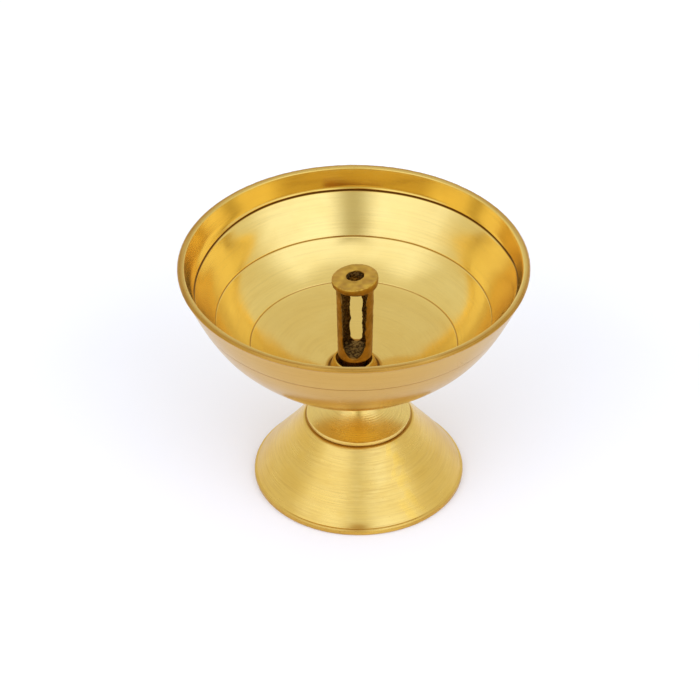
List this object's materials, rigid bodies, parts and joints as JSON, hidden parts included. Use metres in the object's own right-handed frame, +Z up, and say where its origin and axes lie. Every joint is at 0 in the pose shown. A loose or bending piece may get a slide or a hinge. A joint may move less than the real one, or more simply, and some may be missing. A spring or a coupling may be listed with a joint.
{
  "type": "diya oil lamp",
  "caption": "Brass oil lamp: a round bowl on a waisted neck and flared foot, with a lift-out slotted holder for a cotton wick.",
  "frame": {"origin": "on the surface the foot stands on, under the bowl's axis, which is the centre of the lamp's footprint", "axes": "+Z up along the bowl's axis; +Y away from the viewer, with the wick holder's wide slot facing -Y; +X to the right, the way the neck and foot sit 1.14 mm off the bowl's axis"},
  "size_m": [0.086, 0.086, 0.0646],
  "materials": {
    "bowl_brass": "lathe-turned, polished inside with satin floor, three scribed rings",
    "socket_brass": "turned, bright lip",
    "holder_cast_brass": "sand-cast, turned outside, rough and dark inside the slot",
    "neck_brass": "turned with fine tool ridges",
    "foot_brass": "satin turned with light chatter, polished edge",
    "fastener_brass": "plain machined"
  },
  "bodies": {
    "lamp": {"bowl": "bowl_brass", "wick_socket": "socket_brass", "neck": "neck_brass", "foot": "foot_brass", "tie_stud": "fastener_brass"},
    "holder": {"wick_holder": "holder_cast_brass"},
    "washer": {"washer": "fastener_brass"},
    "nut": {"nut": "fastener_brass"}
  },
  "joints": [
    {"name": "holder_lift", "type": "slide", "parent": "lamp", "child": "holder", "axis": [0, 0, 1], "range_m": [0, 0.04]},
    {"name": "washer_drop", "type": "slide", "parent": "lamp", "child": "washer", "axis": [0, 0, -1], "range_m": [0, 0.0056]},
    {"name": "nut_unscrew", "type": "hinge", "parent": "washer", "child": "nut", "pos_m": [0, 0, 0.0112], "axis": [0, 0, -1], "range_deg": [0, 2525]}
  ],
  "couplings": [
    {"joint": "nut_unscrew", "follows": "washer_drop", "rad_per_m": 7854}
  ]
}
